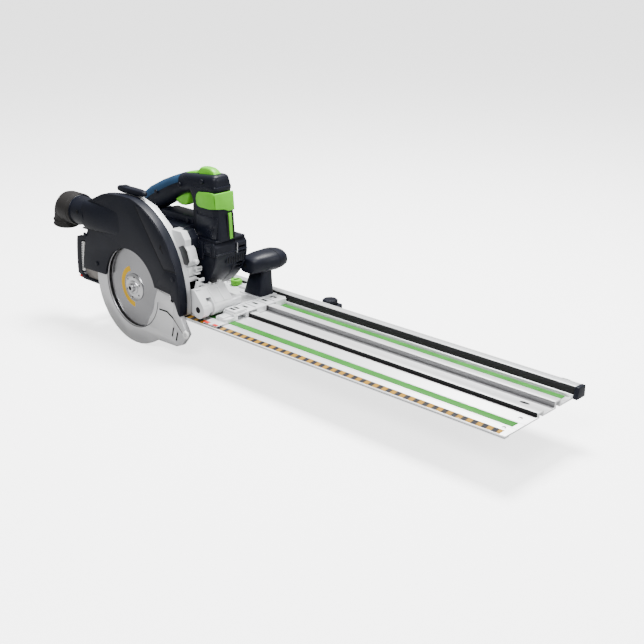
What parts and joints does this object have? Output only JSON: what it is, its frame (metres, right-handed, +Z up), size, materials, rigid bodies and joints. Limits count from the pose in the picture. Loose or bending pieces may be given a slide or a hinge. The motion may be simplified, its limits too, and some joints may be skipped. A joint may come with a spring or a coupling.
{
  "type": "cordless cross-cutting saw on a guide rail",
  "caption": "Cordless circular saw that slides along a short fenced guide rail, with tilting and depth joints, swinging blade guard, slide-on battery and dust elbow.",
  "frame": {"origin": "on the workpiece surface, under the rail's cutting edge, straight below the blade's axis with the saw parked at the start of the rail", "axes": "+X the cutting direction along the rail, +Y away from the blade side, +Z up"},
  "size_m": [0.869, 0.215, 0.2775],
  "materials": {
    "rail_aluminium": "anodised satin",
    "fence_grey": "anodised satin",
    "white_casting": "fine satin paint",
    "casting_grey": "blasted casting",
    "satin_aluminium": "satin",
    "plate_grey": "satin",
    "black_plastic": "fine texture",
    "black_metal": "black powder coat",
    "green_plastic": "satin",
    "green_felt": "soft low-friction strip",
    "blue_rubber": "soft-touch",
    "black_rubber": "matt",
    "clear_edge": "splinter lip",
    "steel": "ground",
    "copper": "wound",
    "board_green": "laminate",
    "scale_white": "moulded"
  },
  "bodies": {
    "rail": {"rail_profile": "rail_aluminium", "splinter_guard": "clear_edge", "glide_strips": "green_felt", "rib_insert": "black_rubber", "grip_strips": "black_rubber", "fence_profile": "fence_grey", "fence_insert": "black_plastic", "fence_end_caps": "black_plastic", "cord_anchor": "black_plastic", "fixed_stop": "black_plastic"},
    "angle_stop": {"stop_slider": "black_metal"},
    "angle_stop_knob": {"stop_knob": "black_plastic"},
    "carriage": {"base_plate": "casting_grey", "bevel_segments": "casting_grey", "cutline_indicator": "casting_grey", "front_handle_stem": "black_plastic", "front_handle_grip": "black_plastic"},
    "front_adjuster": {"front_rail_adjuster": "green_plastic"},
    "rear_adjuster": {"rear_rail_adjuster": "green_plastic"},
    "tilt_frame": {"pivot_block": "casting_grey", "pivot_pin": "steel", "tilt_beam": "casting_grey", "depth_segment": "black_metal", "segment_plate": "plate_grey", "depth_scale": "scale_white"},
    "front_clamp_knob": {"front_bevel_knob": "black_plastic"},
    "rear_clamp_knob": {"rear_bevel_knob": "black_plastic"},
    "saw_unit": {"guard_cover": "black_metal", "blade_housing": "white_casting", "gearbox_cover": "black_plastic", "motor_housing": "black_plastic", "motor_end_cap": "black_plastic", "motor_stator": "copper", "handle_shell_near": "black_plastic", "handle_shell_far": "black_plastic", "soft_grip": "blue_rubber", "trigger_switch": "black_plastic", "control_board": "board_green", "battery_terminals": "copper", "shaft_bearings": "steel", "housing_screws": "steel", "depth_pointer": "black_metal", "trigger_pin": "steel"},
    "spindle": {"saw_blade": "steel", "inner_flange": "steel", "outer_flange": "steel", "blade_bolt": "steel", "output_spindle": "steel"},
    "intermediate_shaft": {"layshaft": "steel"},
    "armature": {"motor_rotor": "steel", "cooling_fan": "black_plastic"},
    "swing_guard": {"lower_guard": "satin_aluminium"},
    "roller": {"guard_wheel": "scale_white"},
    "dust_elbow": {"dust_port": "black_plastic"},
    "battery": {"battery_pack": "black_plastic"},
    "battery_button": {"battery_latch": "green_plastic"},
    "trigger_lever": {"trigger": "green_plastic"},
    "lock_off_button": {"lock_button": "green_plastic"},
    "blade_change_lever": {"release_lever": "green_plastic"},
    "depth_lever": {"depth_lock_lever": "black_plastic"}
  },
  "joints": [
    {"name": "carriage_slide", "type": "slide", "parent": "rail", "child": "carriage", "axis": [1, 0, 0], "range_m": [0, 0.42]},
    {"name": "stop_slide", "type": "slide", "parent": "rail", "child": "angle_stop", "axis": [1, 0, 0], "range_m": [-0.06, 0.1]},
    {"name": "stop_knob_turn", "type": "hinge", "parent": "angle_stop", "child": "angle_stop_knob", "pos_m": [0.235, 0.177, 0.012], "axis": [0, 0, 1], "range_deg": [-180, 180]},
    {"name": "front_adjuster_turn", "type": "hinge", "parent": "carriage", "child": "front_adjuster", "pos_m": [0.079, 0.131, 0.018], "axis": [0, 0, 1], "range_deg": [-90, 90]},
    {"name": "rear_adjuster_turn", "type": "hinge", "parent": "carriage", "child": "rear_adjuster", "pos_m": [-0.1, 0.105, 0.018], "axis": [0, 0, 1], "range_deg": [-90, 90]},
    {"name": "bevel_tilt", "type": "hinge", "parent": "carriage", "child": "tilt_frame", "pos_m": [0, -0.0025, 0], "axis": [1, 0, 0], "range_deg": [0, 45]},
    {"name": "front_knob_turn", "type": "hinge", "parent": "tilt_frame", "child": "front_clamp_knob", "pos_m": [0.112, 0.04723, 0.0152], "axis": [1, 0, 0], "range_deg": [-90, 90]},
    {"name": "rear_knob_turn", "type": "hinge", "parent": "tilt_frame", "child": "rear_clamp_knob", "pos_m": [-0.107, 0.04723, 0.0152], "axis": [1, 0, 0], "range_deg": [-90, 90]},
    {"name": "depth_swing", "type": "hinge", "parent": "tilt_frame", "child": "saw_unit", "pos_m": [0.138, 0.02, 0.02], "axis": [0, 1, 0], "range_deg": [0, 22]},
    {"name": "blade_spin", "type": "hinge", "parent": "saw_unit", "child": "spindle", "pos_m": [0, -0.0025, 0.025], "axis": [0, 1, 0], "continuous": true},
    {"name": "layshaft_spin", "type": "hinge", "parent": "saw_unit", "child": "intermediate_shaft", "pos_m": [0.02206, 0.025, 0.04351], "axis": [0, 1, 0], "continuous": true},
    {"name": "armature_spin", "type": "hinge", "parent": "saw_unit", "child": "armature", "pos_m": [0.04451, 0.06, 0.06235], "axis": [0, 1, 0], "continuous": true},
    {"name": "guard_swing", "type": "hinge", "parent": "saw_unit", "child": "swing_guard", "pos_m": [0, 0, 0.025], "axis": [0, 1, 0], "range_deg": [0, 110], "stiffness_Nm_per_rad": 0.15, "springref_deg": -68.75},
    {"name": "roller_turn", "type": "hinge", "parent": "swing_guard", "child": "roller", "pos_m": [0.125, -0.01, -0.018], "axis": [0, 1, 0], "continuous": true},
    {"name": "dust_elbow_turn", "type": "hinge", "parent": "saw_unit", "child": "dust_elbow", "pos_m": [-0.15, 0, 0.121], "axis": [1, 0, 0], "range_deg": [-100, 15]},
    {"name": "battery_slide", "type": "slide", "parent": "saw_unit", "child": "battery", "axis": [-1, 0, 0], "range_m": [0, 0.075]},
    {"name": "battery_button_push", "type": "slide", "parent": "battery", "child": "battery_button", "axis": [1, 0, 0], "range_m": [0, 0.0025], "stiffness_N_per_m": 500, "springref_m": -0.003},
    {"name": "trigger_pull", "type": "hinge", "parent": "saw_unit", "child": "trigger_lever", "pos_m": [0.0645, 0.062, 0.178], "axis": [0, 1, 0], "range_deg": [0, 8], "stiffness_Nm_per_rad": 0.6, "springref_deg": -14.32},
    {"name": "lock_button_push", "type": "slide", "parent": "saw_unit", "child": "lock_off_button", "axis": [0, 0, -1], "range_m": [0, 0.003], "stiffness_N_per_m": 500, "springref_m": -0.003},
    {"name": "release_lever_lift", "type": "hinge", "parent": "saw_unit", "child": "blade_change_lever", "pos_m": [0.13, 0.06, 0.182], "axis": [0, 1, 0], "range_deg": [-35, 0]},
    {"name": "depth_lever_turn", "type": "hinge", "parent": "saw_unit", "child": "depth_lever", "pos_m": [-0.006, 0.007, 0.17], "axis": [0, 0, 1], "range_deg": [-25, 25]}
  ],
  "couplings": [
    {"joint": "layshaft_spin", "follows": "blade_spin", "ratio": -1.5909},
    {"joint": "armature_spin", "follows": "blade_spin", "ratio": 3.5354}
  ]
}
